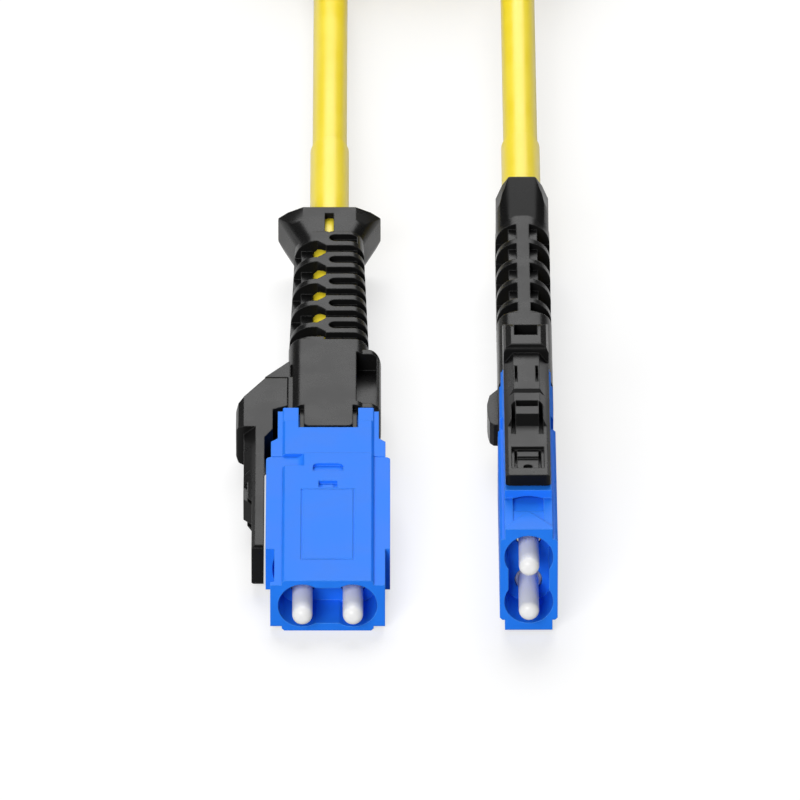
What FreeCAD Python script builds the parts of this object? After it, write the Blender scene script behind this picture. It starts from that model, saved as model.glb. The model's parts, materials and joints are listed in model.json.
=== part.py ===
"""Duplex fibre patch cord: one cable with a push-pull connector of two ferrules on each end.

Each connector is drawn once in its own frame: X across its width with the latch on the -X side,
Y along its length with zero at the nose, and Z through its thickness. End A then lies wide face up
and end B stands on its narrow side, and the cable between them is wound into a coil behind them.
"""
import FreeCAD, Part
import itertools
import math
import os
import re

import Sketcher

# Driving dimensions, in millimetres
SIZES = {
    # Ferrules, their holders and the fibres
    "ferrule_pitch": 3.1,
    "ferrule_diameter": 1.25,
    "ferrule_shank_diameter": 0.9,
    "ferrule_length": 7.0,
    "ferrule_protrusion": 1.55,
    "ferrule_tip_round": 0.5,
    "holder_neck_diameter": 1.58,
    "holder_collar_diameter": 2.16,
    "holder_collar_length": 1.2,
    "holder_tail_length": 3.6,
    "holder_tail_wall": 0.18,
    "fibre_diameter": 0.6,
    "fibre_inner_offset": 0.32,
    "spring_wire": 0.22,
    "spring_turns": 7,
    # How far tools run past a face, and how far joined solids lap
    "overrun": 1.0,
    "lap": 0.1,
    # Housing
    "nose_half_width": 3.525,
    "nose_length": 4.4,
    "lip_length": 0.35,
    "latch_pocket_depth": 0.25,
    "latch_ramp_length": 2.25,
    "latch_arch_depth": 0.1,
    "latch_arch_half_width": 0.95,
    "latch_arch_crown": 2.36,
    "latch_arch_top": 3.41,
    "latch_arch_floor": 3.05,
    "latch_arch_reach": 0.8,
    "flange_half_width": 3.83,
    "flange_rear_round": 0.3,
    "plate_half_thickness": 1.46,
    "housing_length": 15.5,
    "panel_half_width": 2.825,
    "panel_half_thickness": 1.775,
    "panel_edge_chamfer": 0.16,
    "port_diameter": 3.0,
    "port_neck_height": 2.5,
    "port_depth": 2.8,
    "seat_wall": 0.4,
    "seat_clearance": 0.05,
    "spring_bore_diameter": 2.4,
    "label_half_width": 1.66,
    "label_length": 8.6,
    "label_front": 2.55,
    "label_line": 0.12,
    "clip_depth": 0.22,
    "clip_half_width": 0.58,
    "clip_length": 0.85,
    "clip_gap": 0.12,
    "clip_tab_half_width": 0.32,
    "clip_tab_length": 0.5,
    "mark_depth": 0.2,
    "mark_width": 1.87,
    "mark_length": 0.95,
    "mark_round": 0.4,
    "mark_front": 13.3,
    "scoop_offset": 2.0,
    "scoop_radius": 0.6,
    "scoop_length": 1.55,
    "scoop_depth": 0.31,
    # Rear body and crimp
    "insert_depth": 3.8,
    "insert_half_width": 2.3,
    "insert_half_thickness": 1.05,
    "insert_wall": 0.7,
    "fibre_room": 0.25,
    "shell_clearance": 0.03,
    "shoulder_half_width": 3.54,
    "shoulder_length": 1.88,
    "waist_half_width": 3.13,
    "side_tab_setback": 0.3,
    "rear_body_length": 5.88,
    "rear_panel_drop": 0.12,
    "seam": 0.1,
    "prong_step": 0.1,
    "prong_step_length": 1.7,
    "notch_half_width": 1.85,
    "notch_depth": 2.55,
    "post_diameter": 2.1,
    "post_bore": 1.5,
    "post_length": 5.6,
    "crimp_wall": 0.25,
    "crimp_length": 6.3,
    "crimp_gap": 0.7,
    # Boot
    "boot_half_thickness": 1.7,
    "boot_half_width": 2.5,
    "boot_rear_half_width": 2.15,
    "boot_corner_round": 0.98,
    "fin_corner_round": 1.45,
    "boot_gap": 0.15,
    "boot_block_length": 8.17,
    "relief_length": 13.35,
    "boot_clearance": 0.05,
    "crimp_clearance": 0.1,
    "tongue_half_width": 1.5,
    "tongue_thickness": 0.6,
    "tongue_corner_round": 0.35,
    "tongue_base_gap": 0.08,
    "tongue_base_thickness": 0.25,
    "rib_pitch": 2.72,
    "rib_width": 1.9,
    "rib_first": 1.7,
    "stem_width": 0.56,
    "slot_width": 0.84,
    "rib_groove_depth": 0.4,
    "rib_split": 0.2,
    "fork_flare": 0.53,
    "pocket_wall_outer": 1.75,
    "pocket_wall_inner": 1.05,
    "pocket_wall_half_thickness": 0.9,
    "pocket_front_wall": 0.25,
    "pocket_rear_wall": 1.15,
    "spine_half_thickness": 0.4,
    "collar_length": 4.0,
    "collar_reach": 3.15,
    "collar_front_half_width": 1.87,
    "collar_half_width": 3.22,
    "collar_half_thickness": 1.65,
    "collar_round": 1.0,
    "collar_flat_half_width": 1.65,
    "collar_facet_half_width": 2.6,
    "collar_facet_half_thickness": 1.26,
    "collar_side_half_thickness": 0.76,
    "collar_slot_half_width": 0.28,
    "collar_slot_length": 2.5,
    "collar_slot_inset": 0.75,
    "hump_half_width": 3.26,
    "hump_length": 7.1,
    "hump_round": 0.8,
    "hump_drop": 0.2,
    "hump_wall": 0.26,
    "hump_pocket_inner": 1.72,
    "hump_pocket_depth": 1.2,
    "bump_height": 0.6,
    "bump_width": 1.5,
    "bump_setback": 0.75,
    "bump_length": 4.9,
    "bump_nose": 0.35,
    "bump_crest": 1.9,
    "bump_flat": 0.7,
    # Latch
    "arm_gap": 0.12,
    "arm_thickness": 0.75,
    "arm_tip": 4.75,
    "arm_tip_round": 0.3,
    "arm_chamfer": 0.2,
    "pad_height": 0.53,
    "pad_half_thickness": 0.8,
    "front_pad_start": 10.95,
    "front_pad_length": 3.35,
    "pad_slope": 0.65,
    "pad_notch": 0.38,
    "pad_gap": 0.5,
    "carrier_step": 0.5,
    "carrier_edge": 0.5,
    "carrier_front": 19.4,
    "carrier_rear": 22.2,
    "carrier_root_half_width": 3.95,
    "carrier_root": 25.3,
    "carrier_rear_round": 1.5,
    "carrier_inner_gap": 0.32,
    "latch_inner_step": 0.4,
    "arm_inner_setback": 0.7,
    "arm_inner_slope": 1.0,
    "gusset_gap": 0.12,
    "gusset_length": 1.9,
    "latch_half_thickness": 1.4,
    "latch_clearance": 0.06,
    "lug_half_width": 0.65,
    "lug_height": 1.1,
    "lug_length": 2.0,
    "tip_window_half_width": 1.0,
    "tip_window_length": 2.7,
    "tip_window_inset": 0.9,
    "tip_window_floor": 0.53,
    "tip_slot_half_width": 0.82,
    "tip_slot_width": 0.16,
    "slot_floor": 0.15,
    "tip_bar_setback": 1.6,
    "tip_bar": 0.6,
    "tip_bar_drop": 0.08,
    "tip_hole_diameter": 0.56,
    "tip_hole_inset": 0.55,
    "side_slot_half_width": 0.98,
    "side_slot_width": 0.26,
    "side_slot_start": 10.0,
    "side_slot_length": 3.2,
    "pad_window_half_width": 0.68,
    "pad_window_start": 12.57,
    "pad_window_length": 0.74,
    "pad_slot_half_width": 0.72,
    "pad_slot_width": 0.16,
    "pad_slot_depth": 0.5,
    "pad_slot_inset": 0.93,
    "pad_slot_length": 2.05,
    "carrier_window_half_width": 0.72,
    "carrier_window_length": 1.55,
    "carrier_window_start": 20.85,
    "carrier_window_depth": 1.0,
    # Cable, sleeve, coil and tie
    "cable_diameter": 2.17,
    "sleeve_diameter": 2.44,
    "sleeve_clearance": 0.01,
    "sleeve_gap": 0.3,
    "sleeve_edge_round": 0.1,
    "sleeve_end": 56.0,
    "coil_columns": 3,
    "coil_layers": 4,
    "coil_mid_radius": 11.0,
    "coil_centre_x": 1.7,
    "coil_centre_y": 72.8,
    "tie_thickness": 0.45,
    "tie_width": 5.0,
    # How the two ends lie
    "ends_spacing": 12.33,
    "ends_stagger": 0.4,
    "end_b_yaw": 0.3,
}

# Places that follow from the sizes: stations along the length unless the name says otherwise
PLACES = {
    "port_offset": "ferrule_pitch / 2",
    "arm_inner": "flange_half_width + arm_gap",
    "arm_outer": "arm_inner + arm_thickness",
    "pad_outer": "arm_outer + pad_height",
    "carrier_half_width": "pad_outer + carrier_step",
    "carrier_front_round": "0.8 * carrier_step",
    "seat_rear": "port_depth + seat_wall",
    "holder_front": "port_depth + lap",
    "collar_rear": "seat_rear + holder_collar_length",
    "ferrule_rear": "ferrule_length - ferrule_protrusion",
    "insert_front": "housing_length - insert_depth",
    "rear_end": "housing_length + rear_body_length",
    "rear_panel": "panel_half_thickness - rear_panel_drop",
    "notch_end": "rear_end - notch_depth",
    "post_end": "rear_end + post_length",
    "crimp_start": "rear_end + crimp_gap",
    "crimp_end": "crimp_start + crimp_length",
    "crimp_bore_radius": "cable_diameter / 2 + sleeve_clearance",
    "crimp_outer_radius": "crimp_bore_radius + crimp_wall",
    "sleeve_start": "crimp_end + sleeve_gap",
    "boot_front": "rear_end + boot_gap",
    "tongue_front": "notch_end + boot_gap",
    "relief_start": "boot_front + boot_block_length",
    "relief_end": "relief_start + relief_length",
    "collar_front": "collar_end - collar_length",
    "collar_end": "relief_end + collar_reach",
    "boot_bore_radius": "sleeve_diameter / 2 + boot_clearance",
    "crimp_cavity_radius": "crimp_outer_radius + crimp_clearance",
    "bump_front": "tongue_front + bump_setback",
    "front_pad_end": "front_pad_start + front_pad_length",
    "rear_pad_start": "front_pad_end + pad_gap",
    "pad_valley": "front_pad_end + pad_gap / 2",
    "shoulder_end": "housing_length + shoulder_length",
    "waist_gap": "waist_half_width + carrier_inner_gap",
    "root_inner": "boot_half_width + latch_clearance",
    "window_front": "arm_tip + tip_window_inset",
    "window_rear": "window_front + tip_window_length",
    "gusset_front": "carrier_root + gusset_gap",
    "lug_front": "(boot_front + carrier_root) / 2 - lug_length / 2",
    "spring_mean_radius": "spring_bore_diameter / 2 - spring_wire / 2 - lap",
    "coil_half_width": "coil_columns * cable_diameter / 2",
    "coil_top": "tie_thickness + coil_layers * cable_diameter",
}

# Routes of the cable in the cord's own frame, from each connector to the coil
CABLE_ROUTES = {
    "cable_run_a": ((-4.19, 0.06, 2.52), (-4.19, 33.0, 3.43), (-4.19, 55.15, 1.9), (-6.5, 61.86, 1.6),
                    (-10.1, 66.5, 1.54)),
    "cable_run_b": ((8.0, 0.07, 3.83), (7.83, 33.0, 3.83), (7.7, 55.15, 5.0), (9.85, 61.86, 6.4),
                    (13.5, 66.5, 7.5)),
}
ARC_SHARE = 0.45

FAR = "20"
RIB_COUNT = 4
# The largest rounding, as a share of the half thickness that it is cut from
ROUND_LIMIT = 0.96
SPRING_FACE_TURNS = 0.5
ACROSS_WIDTH = FreeCAD.Rotation(FreeCAD.Vector(0, 1, 0), 90)
ALONG_LENGTH = FreeCAD.Rotation(FreeCAD.Vector(1, 0, 0), -90)

doc = FreeCAD.newDocument("patch_cord")
nodes = []


def bound(text):
    """Put the sheet's name before each size or place that an expression uses."""
    def qualify(match):
        word = match.group(0)
        if word in SIZES:
            return "Sizes." + word
        return "Places." + word if word in PLACES else word
    return re.sub(r"[a-z][a-z_0-9]*", qualify, text)


def fill_sheet(name, cells):
    """Make a spreadsheet with one aliased cell for each name."""
    sheet = doc.addObject("Spreadsheet::Sheet", name)
    for row, (alias, content) in enumerate(cells.items(), 1):
        sheet.set(f"A{row}", alias)
        sheet.set(f"B{row}", content)
        sheet.setAlias(f"B{row}", alias)
    doc.recompute()
    return sheet


size_sheet = fill_sheet("Sizes", {alias: str(value) for alias, value in SIZES.items()})
place_sheet = fill_sheet("Places", {alias: "=" + bound(text) for alias, text in PLACES.items()})
corner_sheet = doc.addObject("Spreadsheet::Sheet", "Corners")
corner_rows = itertools.count(1)


def size(alias):
    """The number in a size's or a place's cell."""
    return float((size_sheet if alias in SIZES else place_sheet).get(alias))


def locate(thing, width, length, thick):
    """Bind a primitive's corner or centre to three expressions."""
    for axis, text in zip("xyz", (width, length, thick)):
        thing.setExpression(f"Placement.Base.{axis}", bound(text))


def block(name, width, length, thick):
    """A box between two limits each way."""
    box = doc.addObject("Part::Box", name)
    for side, (low, high) in zip(("Length", "Width", "Height"), (width, length, thick)):
        box.setExpression(side, bound(f"({high}) - ({low})"))
    locate(box, width[0], length[0], thick[0])
    return box


def taper(name, length, front, rear):
    """A block whose width and thickness limits change from its front face to its rear face."""
    wedge = doc.addObject("Part::Wedge", name)
    limits = dict(zip(("Xmin", "Xmax", "Zmin", "Zmax"), front))
    limits.update(zip(("X2min", "X2max", "Z2min", "Z2max"), rear))
    limits.update(zip(("Ymin", "Ymax"), length))
    for side, text in limits.items():
        wedge.setExpression(side, bound(text))
    return wedge


def round_bar(name, radius, start, reach, turn=None):
    """A cylinder from a start point, drawn out by reach along the turned axis."""
    bar = doc.addObject("Part::Cylinder", name)
    if turn:
        bar.Placement = FreeCAD.Placement(FreeCAD.Vector(), turn)
    bar.setExpression("Radius", bound(radius))
    bar.setExpression("Height", bound(reach))
    locate(bar, *start)
    return bar


def rod(name, radius, width, length, thick="0"):
    """A cylinder along the length."""
    reach = f"({length[1]}) - ({length[0]})"
    return round_bar(name, radius, (width, length[0], thick), reach, ALONG_LENGTH)


def plate(name, corners, thick):
    """An outline in the width and length plane, drawn out through the thickness."""
    cells = []
    for corner in corners:
        row = next(corner_rows)
        for column, text in zip("AB", corner):
            cells.append(f"{column}{row}")
            corner_sheet.set(cells[-1], "=" + bound(text))
    doc.recompute()
    points = [FreeCAD.Vector(float(corner_sheet.get(a)), float(corner_sheet.get(b)), 0)
              for a, b in zip(cells[::2], cells[1::2])]
    sketch = doc.addObject("Sketcher::SketchObject", name + "_outline")
    count = len(points)
    for index, point in enumerate(points):
        sketch.addGeometry(Part.LineSegment(point, points[(index + 1) % count]), False)
    for index in range(count):
        sketch.addConstraint(Sketcher.Constraint("Coincident", index, 2, (index + 1) % count, 1))
    for index, point in enumerate(points):
        for kind, value, cell in (("DistanceX", point.x, cells[2 * index]),
                                  ("DistanceY", point.y, cells[2 * index + 1])):
            rule = sketch.addConstraint(Sketcher.Constraint(kind, -1, 1, index, 1, value))
            sketch.setExpression(f"Constraints[{rule}]", "Corners." + cell)
    sketch.setExpression("Placement.Base.z", bound(thick[0]))
    solid = doc.addObject("Part::Extrusion", name)
    solid.Base = sketch
    solid.DirMode = "Custom"
    solid.Dir = FreeCAD.Vector(0, 0, 1)
    solid.Solid = True
    solid.setExpression("LengthFwd", bound(f"({thick[1]}) - ({thick[0]})"))
    return solid


def long_bar(name, half, length):
    """A bar along the length: half an outline in width and thickness, mirrored through the thickness."""
    mirrored = tuple((width, f"-({thick})") for width, thick in reversed(half))
    bar = plate(name, half + mirrored, length)
    bar.Placement = FreeCAD.Placement(FreeCAD.Vector(), ALONG_LENGTH)
    return bar


def join(name, *things):
    """Fuse solids into one."""
    fused = doc.addObject("Part::MultiFuse", name)
    fused.Shapes = list(things)
    fused.Refine = True
    return fused


def keep_common(name, base, tool):
    """Keep what two solids share."""
    shared = doc.addObject("Part::Common", name)
    shared.Base = base
    shared.Tool = tool
    return shared


def cut(name, base, *tools):
    """Take tools out of a solid."""
    result = doc.addObject("Part::Cut", name)
    result.Base = base
    result.Tool = tools[0] if len(tools) == 1 else join(name + "_tools", *tools)
    result.Refine = True
    return result


def dress(kind, name, base, radius, chosen):
    """Fillet or chamfer the edges of a solid that a test picks."""
    doc.recompute()
    dressed = doc.addObject(kind, name)
    dressed.Base = base
    dressed.Edges = [(number, radius, radius)
                     for number, edge in enumerate(base.Shape.Edges, 1) if chosen(edge)]
    return dressed


def rounded(name, base, radius, chosen):
    """Round the picked edges."""
    return dress("Part::Fillet", name, base, radius, chosen)


def chamfered(name, base, radius, chosen):
    """Bevel the picked edges."""
    return dress("Part::Chamfer", name, base, radius, chosen)


def direction(edge):
    """The unit vector from an edge's first end to its last."""
    ends = edge.Vertexes
    step = ends[-1].Point - ends[0].Point
    return step.normalize() if step.Length > 1e-6 else step


def lengthwise(edge):
    """True for an edge that runs along the length."""
    return abs(direction(edge).y) > 0.98


def through(edge):
    """True for an edge that runs through the thickness."""
    return abs(direction(edge).z) > 0.98


def near(value, target):
    """True for two measures that agree."""
    return abs(value - target) < 1e-4


def both_sides(name, width, length, thick):
    """The same box on the upper and the lower face."""
    low, high = thick
    mirrored = (f"-({high})", f"-({low})")
    return join(name, block(name + "_upper", width, length, thick),
                block(name + "_lower", width, length, mirrored))


def make_housing():
    """Blue front shell: nose, flange and raised panel around two ferrule ports and a rear socket."""
    outline = plate("housing_plate", (
        ("-nose_half_width", "0"),
        ("-nose_half_width", "lip_length"),
        ("latch_pocket_depth - nose_half_width", "lip_length + lap"),
        ("latch_pocket_depth - nose_half_width", "nose_length"),
        ("-flange_half_width", "nose_length"),
        ("-flange_half_width", "housing_length"),
        ("flange_half_width", "housing_length"),
        ("flange_half_width", "nose_length"),
        ("nose_half_width", "nose_length"),
        ("nose_half_width", "0"),
    ), ("-plate_half_thickness", "plate_half_thickness"))
    outer = size("flange_half_width")
    outline = rounded("housing_flange", outline, size("flange_rear_round"),
                      lambda edge: through(edge) and near(abs(edge.Vertexes[0].X), outer)
                      and near(edge.Vertexes[0].Y, size("housing_length")))
    panel = block("housing_panel", ("-panel_half_width", "panel_half_width"), ("0", "housing_length"),
                  ("-panel_half_thickness", "panel_half_thickness"))
    panel = chamfered("housing_panel_bevelled", panel, size("panel_edge_chamfer"), lengthwise)
    floor = "latch_pocket_depth - nose_half_width"
    arch_width = ("-latch_arch_half_width", "latch_arch_half_width")
    arch_run = block("housing_arch_run", (f"{floor} - overrun", f"{floor} + latch_arch_depth"),
                     ("lip_length + lap", "nose_length"), arch_width)
    door_length = ("port_depth + lap", "nose_length + latch_arch_reach")
    door = keep_common("housing_arch_door",
                       rod("housing_arch_crown", "latch_arch_crown", "latch_arch_crown - latch_arch_top",
                           door_length),
                       block("housing_arch_opening", ("-nose_half_width", "-latch_arch_floor"), door_length,
                             arch_width))
    ramp_end = "lip_length + latch_ramp_length"
    ramp = plate("housing_ramp", (
        ("-nose_half_width", "lip_length"),
        (floor, ramp_end),
        (f"{floor} + 2 * latch_arch_depth", ramp_end),
        (f"{floor} + 2 * latch_arch_depth", "lip_length"),
    ), ("-plate_half_thickness", "plate_half_thickness"))
    gable = taper("housing_gable", ("lip_length", ramp_end),
                  ("-nose_half_width - overrun", "0", "-plate_half_thickness", "plate_half_thickness"),
                  ("-nose_half_width - overrun", "0", "-lap", "lap"))
    body = join("housing_body", cut("housing_arched", outline, arch_run, door), panel,
                keep_common("housing_facet", ramp, gable))

    lane = ("port_offset", "-port_offset")
    ports = [rod(f"housing_port_{side}", "port_diameter / 2", width, ("-overrun", "port_depth"))
             for side, width in enumerate(lane, 1)]
    neck = block("housing_port_neck", ("-port_offset", "port_offset"), ("-overrun", "port_depth"),
                 ("-port_neck_height / 2", "port_neck_height / 2"))
    seats = [rod(f"housing_seat_{side}", "holder_neck_diameter / 2 + seat_clearance", width,
                 ("port_depth - lap", "seat_rear + lap"))
             for side, width in enumerate(lane, 1)]
    bores = [rod(f"housing_bore_{side}", "spring_bore_diameter / 2", width,
                 ("seat_rear", "insert_front + lap"))
             for side, width in enumerate(lane, 1)]
    socket = block("housing_socket",
                   ("-insert_half_width - shell_clearance", "insert_half_width + shell_clearance"),
                   ("insert_front", "housing_length + overrun"),
                   ("-insert_half_thickness - shell_clearance", "insert_half_thickness + shell_clearance"))

    top = "panel_half_thickness"
    rim = both_sides("housing_label_rim", ("-label_half_width", "label_half_width"),
                     ("label_front", "label_front + label_length"), (f"{top} - label_line / 2", FAR))
    inner = both_sides("housing_label_field",
                       ("label_line - label_half_width", "label_half_width - label_line"),
                       ("label_front + label_line", "label_front + label_length - label_line"),
                       (f"{top} - label_line", FAR))
    groove = cut("housing_label_line", rim, inner)
    clip_front = "label_front + label_length + clip_gap"
    recess = both_sides("housing_clip_recess", ("-clip_half_width", "clip_half_width"),
                        (clip_front, f"{clip_front} + clip_length"), (f"{top} - clip_depth", FAR))
    tab = block("housing_clip_tab", ("-clip_tab_half_width", "clip_tab_half_width"),
                (f"{clip_front} - lap", f"{clip_front} + clip_tab_length"),
                (f"-{top} + lap", f"{top} - lap"))
    clip = cut("housing_clip", recess, tab)
    scoop_run = ("housing_length - scoop_length", "housing_length + overrun")
    scoops = [rod(f"housing_scoop_{side}", "scoop_radius", "-scoop_offset", scoop_run,
                  f"{sign}({top} + scoop_radius - scoop_depth)")
              for side, sign in (("upper", ""), ("lower", "-"))]
    scoops.append(both_sides("housing_scoop_floor", ("-panel_half_width - overrun", "-scoop_offset"),
                             scoop_run, (f"{top} - scoop_depth", FAR)))
    mark = block("housing_mark", ("-mark_width / 2", "mark_width / 2"),
                 ("mark_front", "mark_front + mark_length"), (f"{top} - mark_depth", FAR))
    mark_rear = size("mark_front") + size("mark_length")
    mark = rounded("housing_mark_rounded", mark, size("mark_round"),
                   lambda edge: through(edge) and near(edge.BoundBox.YMin, mark_rear))
    return cut("housing", body, *ports, neck, *seats, *bores, socket, groove, clip, *scoops, mark)


def make_rear_body():
    """Blue rear shell: an insert for the housing, shoulders, four prongs and the crimp post."""
    thin = ("-plate_half_thickness", "plate_half_thickness")
    half = (
        ("shoulder_half_width", "housing_length"),
        ("shoulder_half_width", "shoulder_end"),
        ("waist_half_width", "shoulder_end + shoulder_half_width - waist_half_width"),
        ("waist_half_width", "rear_end - side_tab_setback"),
    )
    mirrored = tuple((f"-{width}", length) for width, length in reversed(half))
    wings = plate("rear_body_wings", half + mirrored, thin)
    panel = block("rear_body_panel", ("-panel_half_width", "panel_half_width"),
                  ("housing_length", "rear_end"), ("-rear_panel", "rear_panel"))
    panel = chamfered("rear_body_panel_bevelled", panel, size("panel_edge_chamfer"), lengthwise)
    insert = block("rear_body_insert", ("-insert_half_width", "insert_half_width"),
                   ("insert_front", "rear_end"), ("-insert_half_thickness", "insert_half_thickness"))
    post = rod("rear_body_post", "post_diameter / 2", "0", ("rear_end - insert_wall", "post_end"))
    past_panel = ("-panel_half_width - overrun", "panel_half_width + overrun")
    steps = both_sides("rear_body_prong_steps", past_panel,
                       ("rear_end - prong_step_length", "rear_end + overrun"),
                       ("rear_panel - prong_step", FAR))
    rebate = both_sides("rear_body_rebate", past_panel,
                        ("housing_length", "housing_length + seam"), ("plate_half_thickness - seam", FAR))
    notches = both_sides("rear_body_notches", ("-notch_half_width", "notch_half_width"),
                         ("notch_end", "rear_end + overrun"), ("insert_half_thickness", FAR))
    chamber = block("rear_body_chamber", ("insert_wall / 2 - insert_half_width",
                                          "insert_half_width - insert_wall / 2"),
                    ("insert_front + insert_wall", "rear_end - insert_wall"),
                    ("insert_wall / 2 - insert_half_thickness", "insert_half_thickness - insert_wall / 2"))
    lanes = [rod(f"rear_body_lane_{side}", "fibre_diameter / 2 + fibre_room", width,
                 ("insert_front - overrun", "insert_front + insert_wall + lap"))
             for side, width in ((1, "port_offset"), (2, "-port_offset"))]
    bore = rod("rear_body_bore", "post_bore / 2", "0",
               ("rear_end - insert_wall - lap", "post_end + overrun"))
    solid = join("rear_body_solid", wings, panel, insert, post)
    return cut("rear_body", solid, steps, rebate, notches, chamber, *lanes, bore)


def make_ferrule():
    """White ceramic ferrule with a rounded tip and a slimmer shank in the holder."""
    barrel = rod("ferrule_barrel", "ferrule_diameter / 2", "0", ("-ferrule_protrusion", "holder_front"))
    shank = rod("ferrule_shank", "ferrule_shank_diameter / 2", "0", ("0", "ferrule_rear"))
    tip = -size("ferrule_protrusion")
    bore = rod("ferrule_bore", "fibre_diameter / 2 - lap", "0",
               ("ferrule_rear - overrun", "ferrule_rear + overrun"))
    round_tip = rounded("ferrule_rounded", barrel, size("ferrule_tip_round"),
                        lambda edge: near(edge.BoundBox.YMax, tip))
    return cut("ferrule", join("ferrule_solid", round_tip, shank), bore)


def make_holder():
    """Metal holder pressed on the ferrule: neck in the seat, collar behind it and a tail for the spring."""
    tail_radius = "ferrule_diameter / 2 + holder_tail_wall"
    neck = rod("holder_neck", "holder_neck_diameter / 2", "0", ("holder_front", "collar_rear"))
    collar = rod("holder_collar", "holder_collar_diameter / 2", "0", ("seat_rear", "collar_rear"))
    tail = rod("holder_tail", tail_radius, "0", ("seat_rear", "collar_rear + holder_tail_length"))
    grip = rod("holder_grip", "ferrule_shank_diameter / 2", "0", ("0", "ferrule_rear"))
    lane = rod("holder_lane", "fibre_diameter / 2 + lap", "0",
               ("0", "collar_rear + holder_tail_length + overrun"))
    return cut("ferrule_holder", join("holder_solid", neck, collar, tail), grip, lane)


def make_spring():
    """Compression spring between the holder's collar and the rear body, drawn along Z."""
    wire = size("spring_wire")
    free = "(insert_front - collar_rear - spring_wire)"
    helix = doc.addObject("Part::Helix", "spring_helix")
    helix.setExpression("Radius", bound("spring_mean_radius"))
    helix.setExpression("Height", bound(free))
    helix.setExpression("Pitch", bound(free + " / spring_turns"))
    helix.SegmentLength = SPRING_FACE_TURNS
    section = doc.addObject("Part::Circle", "spring_section")
    section.Placement = FreeCAD.Placement(FreeCAD.Vector(), FreeCAD.Rotation(FreeCAD.Vector(1, 0, 0), 90))
    section.setExpression("Radius", bound("spring_wire / 2"))
    section.setExpression("Placement.Base.x", bound("spring_mean_radius"))
    coil = doc.addObject("Part::Sweep", "spring")
    coil.Sections = [section]
    doc.recompute()
    coil.Spine = (helix, [f"Edge{number}" for number in range(1, len(helix.Shape.Edges) + 1)])
    coil.Solid = True
    coil.Frenet = True
    return coil, FreeCAD.Placement(FreeCAD.Vector(0, size("collar_rear") + wire / 2, 0), ALONG_LENGTH)


def make_fibre(side):
    """Buffered fibre: straight from the ferrule, an even double bend inwards, straight into the post."""
    outer = side * size("port_offset")
    inner = side * size("fibre_inner_offset")
    start = size("ferrule_rear")
    bend = size("insert_front") + size("insert_wall")
    settle = size("rear_end") - size("insert_wall")
    middle = FreeCAD.Vector((outer + inner) / 2, (bend + settle) / 2, 0)
    turn = 2 * math.atan2(abs(outer - inner), settle - bend)
    radius = (settle - bend) / (2 * math.sin(turn))
    along = radius * math.sin(turn / 2)
    across = side * radius * (1 - math.cos(turn / 2))
    points = [FreeCAD.Vector(outer, start, 0), FreeCAD.Vector(outer, bend, 0), middle,
              FreeCAD.Vector(inner, settle, 0),
              FreeCAD.Vector(inner, size("post_end") - size("overrun"), 0)]
    first = FreeCAD.Vector(outer - across, bend + along, 0)
    last = FreeCAD.Vector(inner + across, settle - along, 0)
    edges = [Part.LineSegment(points[0], points[1]), Part.Arc(points[1], first, middle),
             Part.Arc(middle, last, points[3]), Part.LineSegment(points[3], points[4])]
    fibre = doc.addObject("Part::Feature", f"fibre_{side}")
    fibre.Shape = tube([edge.toShape() for edge in edges], size("fibre_diameter") / 2)
    return fibre


def tube(edges, radius):
    """A round solid swept along joined edges."""
    path = Part.Wire(edges)
    start = edges[0].valueAt(edges[0].FirstParameter)
    heading = edges[0].tangentAt(edges[0].FirstParameter)
    section = Part.Wire(Part.makeCircle(radius, start, heading))
    return path.makePipeShell([section], True, True)


def make_crimp_sleeve():
    """Metal sleeve over the post and the cable's end."""
    outside = rod("crimp_outside", "crimp_outer_radius", "0", ("crimp_start", "crimp_end"))
    inside = rod("crimp_inside", "crimp_bore_radius", "0", ("crimp_start - overrun", "crimp_end + overrun"))
    return cut("crimp_sleeve", outside, inside)


def make_cable_sleeve():
    """Yellow shrink sleeve on the cable, from the crimp to behind the boot."""
    outside = rod("cable_sleeve_outside", "sleeve_diameter / 2", "0", ("sleeve_start", "sleeve_end"))
    rear = size("sleeve_end")
    outside = rounded("cable_sleeve_rounded", outside, size("sleeve_edge_round"),
                      lambda edge: near(edge.BoundBox.YMin, rear))
    inside = rod("cable_sleeve_inside", "crimp_bore_radius", "0",
                 ("sleeve_start - overrun", "sleeve_end + overrun"))
    return cut("cable_sleeve", outside, inside)


def rib_station(index):
    """The place of a rib's middle along the length."""
    return f"relief_start + rib_first + {index} * rib_pitch"


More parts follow.
